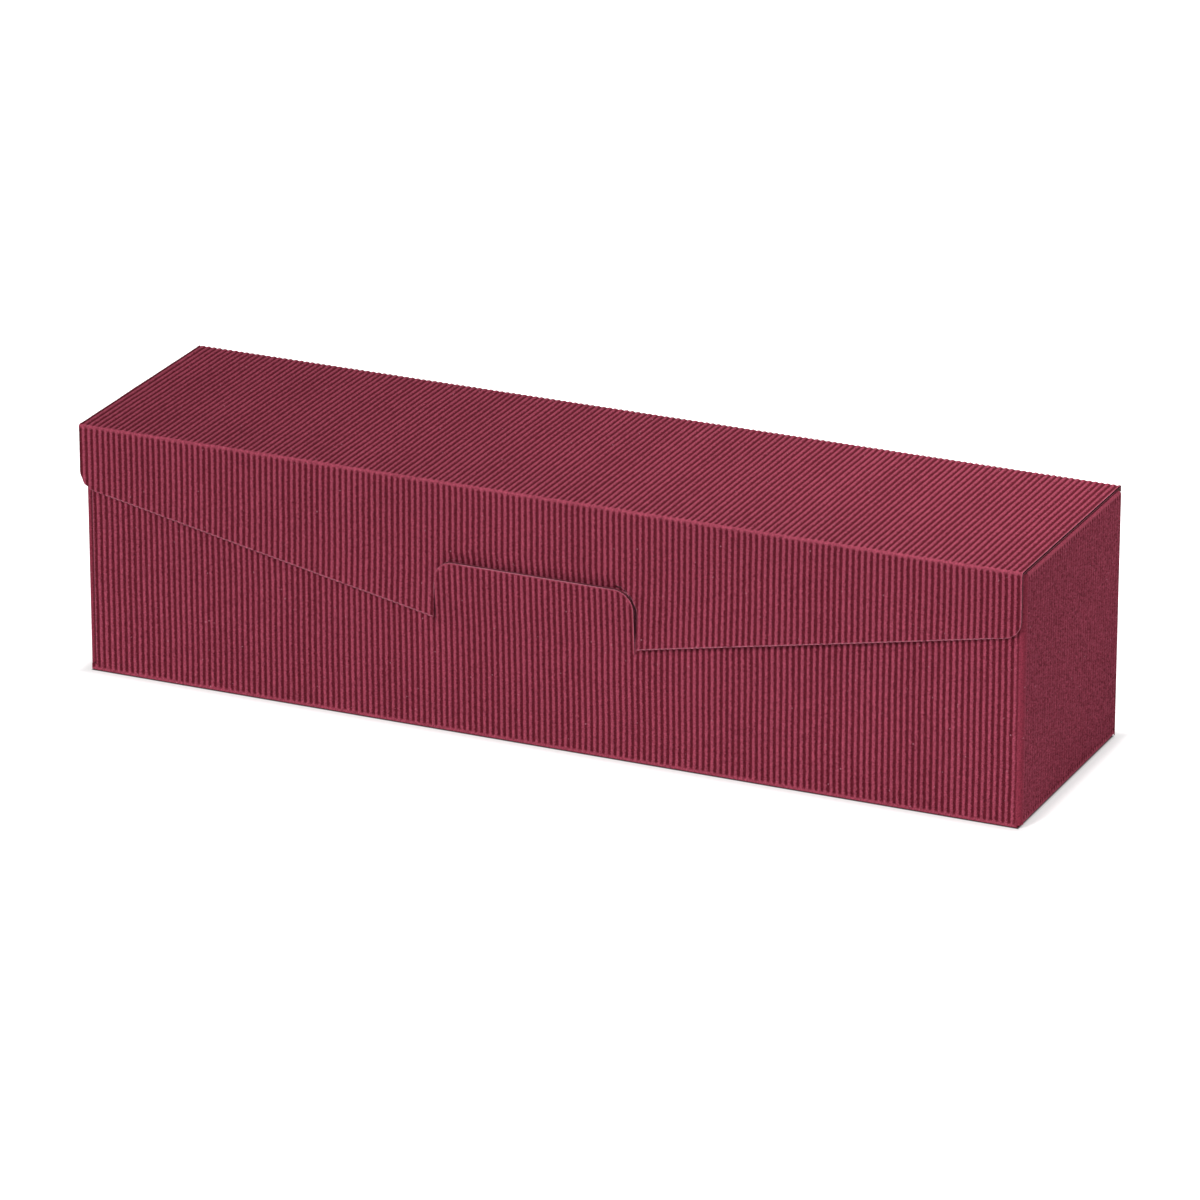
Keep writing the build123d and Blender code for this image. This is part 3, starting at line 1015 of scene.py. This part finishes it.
@made_once
def ridged_paper(tree, shader, axis, pitch):
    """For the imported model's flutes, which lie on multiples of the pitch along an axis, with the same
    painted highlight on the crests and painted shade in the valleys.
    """
    turn = calculate(tree, "MULTIPLY", object_axes(tree)[axis], 2 * math.pi / pitch)
    flute = calculate(tree, "MULTIPLY_ADD", calculate(tree, "COSINE", turn), 0.5, 0.5)
    add_fluted_grain(tree, shader, fluted_colour(tree, flute))


def contact_shade(tree):
    """Painted contact shadow: 1 on the open floor, darker by the foot of the box, and black under its folds.
    """
    values, axes = settings().stage, object_axes(tree)
    past = [calculate(tree, "SUBTRACT", calculate(tree, "ABSOLUTE", axes[i]), reach)
            for i, reach in enumerate((OUT_X, OUT_Y))]
    away = calculate(tree, "MAXIMUM", *past)
    under = calculate(tree, "MAXIMUM", calculate(tree, "ADD", past[0], values.contact_inset), past[1])
    shadow = smooth_band(tree, away, 0.0, values.contact_reach, values.contact_grey)
    black = smooth_band(tree, under, -0.9 * MM, 0.1 * MM, 0.03)
    return calculate(tree, "MULTIPLY", shadow, black)


def show_directly(tree, lit, shown, output):
    """Gives the output one shader for the light, and another for what the camera sees, also in gloss and
    through clear things."""
    path = tree.nodes.new("ShaderNodeLightPath").outputs
    either = calculate(tree, "MAXIMUM", path["Is Camera Ray"], path["Is Glossy Ray"])
    seen = calculate(tree, "MAXIMUM", either, path["Is Transmission Ray"])
    mix = add_node(tree, "MixShader", {0: seen, 1: lit.outputs[0], 2: shown.outputs[0]})
    join(tree, mix.outputs[0], output.inputs["Surface"])


@made_once
def white_floor(tree, shader):
    """The camera sees a floor that is white but for the shadow where the box touches it, painted by the
    floor's place and deepened by the lamps.
    """
    join_all(tree, shader, {"Base Color": (0.85,) * 3, "Roughness": 1.0, "Specular IOR Level": 0.0})
    shade = contact_shade(tree)
    strength = calculate(tree, "MULTIPLY", shade, settings().stage.floor_glow)
    shown = add_node(tree, "BsdfDiffuse", {"Color": shade})
    light = add_node(tree, "Emission", {"Strength": strength})
    both = add_node(tree, "AddShader", {0: shown.outputs[0], 1: light.outputs[0]})
    show_directly(tree, shader, both, tree.nodes["Material Output"])


def put_in_scene(name, data, place, turn, **options):
    """Puts a lamp or a camera in the scene, and sets options of its data."""
    item = bpy.data.objects.new(name, data)
    item.location, item.rotation_euler = place, turn
    set_all(data, options)
    bpy.context.scene.collection.objects.link(item)
    return item


def new_lamp(name, kind, place, target=(0, 0, 0), **options):
    """A lamp at its place that points at its target."""
    turn = (Vector(target) - Vector(place)).to_track_quat("-Z", "Y").to_euler()
    return put_in_scene(name, bpy.data.lights.new(name, kind), place, turn, **options)


class AddLongWalls(Operator):
    """Front wall, with the window that the tongue is cut from, and back wall, which carries the lid"""
    bl_idname = "giftbox.long_walls"
    bl_label = "Long walls"

    def execute(self, context):
        reach = (WALL_LOW.x + settings().cut.seam_reveal, WALL_HIGH.x)
        build_board("front_wall", FRONT, reach, (WALL_LOW.z, WALL_HIGH.z), "box", rolls=[IN_X],
                    free="left top", shape=wall_shape, bulge=wall_bulge)
        reach = (BACK_LOW.x, BACK_HIGH.x)
        build_board("back_wall", BACK, reach, (BACK_LOW.z, BACK_HIGH.z), "box", rolls=[-IN_X, IN_X])
        return {"FINISHED"}


class AddEnds(Operator):
    """Right end, and left end up to the glued seam"""
    bl_idname = "giftbox.ends"
    bl_label = "Ends"

    def execute(self, context):
        height = (END_LOW.z, END_HIGH.z)
        build_board("right_end", RIGHT, (END_LOW.y, END_HIGH.y), height, "box", END_PITCH, [-IN_Y, IN_Y])
        build_board("left_end", LEFT, (-SEAM_HIGH.y, -SEAM_LOW.y), height, "box", END_PITCH, [-IN_Y, -SEAM_Y])
        return {"FINISHED"}


class AddUprightFolds(Operator):
    """Rolled folds between the four walls"""
    bl_idname = "giftbox.upright_folds"
    bl_label = "Upright folds"

    def execute(self, context):
        low, back_top, front_top = END_Z - BOARD, BACK_HIGH.z, LID_Z - LID_ROOM
        long_end, long_start = (LONG_PITCH, WALL_HIGH.x), (LONG_PITCH, -WALL_HIGH.x)
        end_end, end_start = (END_PITCH, END_HIGH.y), (END_PITCH, -END_HIGH.y)
        seam_end = (END_PITCH, -SEAM_LOW.y)
        for name, corner, legs, top, waves, notched in (
            ("front_right", (IN_X, -IN_Y, 0), (-X, Y), front_top, (long_end, end_start), -1),
            ("back_right", (IN_X, IN_Y, 0), (-Y, -X), back_top, (end_end, long_start), 1),
            ("back_left", (-IN_X, IN_Y, 0), (X, -Y), back_top, (long_end, end_start), -1),
            ("front_left", (-IN_X, SEAM_Y, 0), (Y, X), front_top, (seam_end, long_start), 1),
        ):
            fold = UprightFold(name + "_crease", corner, legs, (low, top), UPRIGHT_RADIUS)
            fold.build(waves, notched)
        return {"FINISHED"}


class AddFloorFolds(Operator):
    """Folds between the walls and the floor flaps"""
    bl_idname = "giftbox.floor_folds"
    bl_label = "Floor folds"

    def execute(self, context):
        long_span = (FLOOR_LOW.x, FLOOR_HIGH.x)
        end_span, seam_span = (END_LOW.y, END_HIGH.y), (SEAM_LOW.y, SEAM_HIGH.y)
        for side, corner, leg, span, pitch, rolls in (
            ("front", (0, -IN_Y, BOARD), Y, long_span, LONG_PITCH, [IN_X]),
            ("back", (0, IN_Y, BOARD), -Y, long_span, LONG_PITCH, [-IN_X, IN_X]),
            ("right", (IN_X, 0, END_Z), -X, end_span, END_PITCH, [-IN_Y, IN_Y]),
            ("left", (-IN_X, 0, END_Z), X, seam_span, END_PITCH, [SEAM_Y, IN_Y]),
        ):
            fold = CrossFold("floor_" + side + "_crease", corner, (leg, Z), span)
            fold.build(["box"], pitch, rolls=rolls)
        return {"FINISHED"}


class AddLid(Operator):
    """Lid, with its living hinge on the back wall and the fold to its flap"""
    bl_idname = "giftbox.lid"
    bl_label = "Lid"

    def execute(self, context):
        span = (LID_LOW.x, LID_HIGH.x)
        build_board("lid", TOP_SIDE, span, (LID_LOW.y, LID_HIGH.y), "lid", free="left right")
        hinge = CrossFold("lid_crease", (0, IN_Y, LID_Z), (-Z, -Y), span)
        hinge.build(["box", "lid"], LONG_PITCH, strength=0.45)
        front = CrossFold("flap_crease", (0, -FLAP_Y, LID_Z), (Y, -Z), span)
        front.build(["lid", "lid_flap"], LONG_PITCH, strength=0.65)
        return {"FINISHED"}


class AddLidFlap(Operator):
    """Flap with two tapering wings, and the tab that tucks behind the tongue"""
    bl_idname = "giftbox.lid_flap"
    bl_label = "Lid flap and tab"

    def execute(self, context):
        lean = settings().cut.tab_lean
        reach = (FLAP_LOW.x, FLAP_HIGH.x)
        build_board("lid_flap", FLAP, reach, (FLAP_LOW.z, FLAP_HIGH.z), "lid_flap", free="left right",
                    shape=flap_shape, bulge=flap_bulge)
        plane = leaning(-FLAP_Y, BEND_Z, lean)
        length = (BEND_Z - TAB_LOW.z) / math.cos(lean)
        build_board("tuck_tab", plane, (TAB_LOW.x, TAB_HIGH.x), (-length, 0), "lid_flap",
                    free="left right bottom", shape=tab_shape, bulge=tab_bulge)
        return {"FINISHED"}


class AddTongue(Operator):
    """Tongue that holds the tab, bent out of the front wall at its root"""
    bl_idname = "giftbox.tongue"
    bl_label = "Tongue"

    def execute(self, context):
        lean, root = settings().cut.tongue_lean, root_height()
        plane = leaning(-OUT_Y + BOARD * math.cos(lean), root + BOARD * math.sin(lean), lean)
        build_board("tongue", plane, (TONGUE_LOW.x, TONGUE_HIGH.x), (0, tongue_outline()[2]), "tongue",
                    free="left right top", shape=tongue_shape, bulge=tongue_rise)
        return {"FINISHED"}


class AddDustFlaps(Operator):
    """Dust flaps on the tops of the ends, with their living hinges"""
    bl_idname = "giftbox.dust_flaps"
    bl_label = "Dust flaps"

    def execute(self, context):
        length = IN_X - DUST_LOW.x
        for side, name, plane, reach in (
            (1, "right_dust", RIGHT_DUST, (END_LOW.y, END_HIGH.y)),
            (-1, "left_dust", LEFT_DUST, (SEAM_LOW.y, SEAM_HIGH.y)),
        ):
            across = reach if side > 0 else (-reach[1], -reach[0])
            flap = name + "_flap"
            build_board(flap, plane, across, (CREASE_LEG, length), flap, END_PITCH,
                        free="left right top", shape=partial(dust_shape, side))
            hinge = CrossFold(name + "_crease", (side * IN_X, 0, DUST_Z), (-Z, -side * X), reach)
            hinge.build(["box", flap], END_PITCH)
        return {"FINISHED"}


class DressFloor(Operator):
    """Papers of the floor flaps and the glue flap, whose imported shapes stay"""
    bl_idname = "giftbox.dress_floor"
    bl_label = "Floor papers"

    def execute(self, context):
        for name, node in frame["nodes"].items():
            node.data.materials.clear()
            if name == "glue_flap":
                paper = glue_flap_papers("glue_flap_papers")
            elif name.endswith("liner"):
                paper = lining_papers()[1]
            elif name.endswith("flutes") and ("right" in name or "left" in name):
                paper = ridged_paper("bordeaux_ridges_y", "Y", END_PITCH)
            else:
                paper = ridged_paper("bordeaux_ridges_x", "X", LONG_PITCH)
            node.data.materials.append(paper)
        return {"FINISHED"}


class AddStage(Operator):
    """Floor, surrounding light, lamps and camera"""
    bl_idname = "giftbox.stage"
    bl_label = "Stage"

    def execute(self, context):
        values, scene = settings().stage, context.scene
        bpy.ops.object.select_all(action="DESELECT")
        bpy.ops.mesh.primitive_plane_add(size=FLOOR_SIZE, location=(0, 0, -FLOOR_GAP))
        floor = bpy.context.object
        floor.name = "floor"
        bpy.ops.object.transform_apply(location=True, rotation=False, scale=True)
        floor.data.materials.append(white_floor("white_floor"))
        scene.world = bpy.data.worlds.new("studio")
        scene.world.use_nodes = True
        tree = scene.world.node_tree
        light = tree.nodes["Background"]
        join_all(tree, light, {"Color": (1, 1, 1), "Strength": values.world})
        shown = add_node(tree, "Background", {"Color": (1, 1, 1)})
        show_directly(tree, light, shown, tree.nodes["World Output"])
        new_lamp("key", "SUN", values.key_from, energy=values.key, angle=values.key_softness)
        new_lamp("fill", "SUN", values.fill_from, energy=values.fill, angle=values.fill_softness)
        below = (*values.top_place[:2], 0)
        top = new_lamp("top", "AREA", values.top_place, below, energy=values.top, shape="DISK",
                       size=values.top_size)
        top.visible_camera = False
        flat = values.distance * math.cos(values.elevation)
        place = (flat * math.sin(values.azimuth), -flat * math.cos(values.azimuth),
                 TOP / 2 + values.distance * math.sin(values.elevation))
        turn = (math.pi / 2 - values.elevation, 0, values.azimuth)
        scene.camera = put_in_scene("camera", bpy.data.cameras.new("camera"), place, turn, lens=values.lens,
                                    sensor_width=SENSOR, shift_x=values.shift[0], shift_y=values.shift[1])
        scene.view_settings.view_transform = "Standard"
        return {"FINISHED"}


STEPS = (AddLongWalls, AddEnds, AddUprightFolds, AddFloorFolds, AddLid, AddLidFlap, AddTongue,
         AddDustFlaps, DressFloor, AddStage)


class GiftBoxPanel(bpy.types.Panel):
    """Steps that build the box, in order"""
    bl_idname = "VIEW3D_PT_gift_box"
    bl_label = "Gift Box"
    bl_space_type = "VIEW_3D"
    bl_region_type = "UI"
    bl_category = "Gift Box"

    def draw(self, context):
        for step in STEPS:
            self.layout.operator(step.bl_idname)


CLASSES = (BoardSettings, CutSettings, FinishSettings, StageSettings, GiftBoxSettings, *STEPS, GiftBoxPanel)


def register():
    for item in CLASSES:
        bpy.utils.register_class(item)
    bpy.types.Scene.gift_box = bpy.props.PointerProperty(type=GiftBoxSettings)


def unregister():
    del bpy.types.Scene.gift_box
    for item in reversed(CLASSES):
        bpy.utils.unregister_class(item)


def main():
    register()
    for step in STEPS:
        getattr(bpy.ops.giftbox, step.bl_idname.split(".")[1])()


if __name__ == "__main__":
    main()
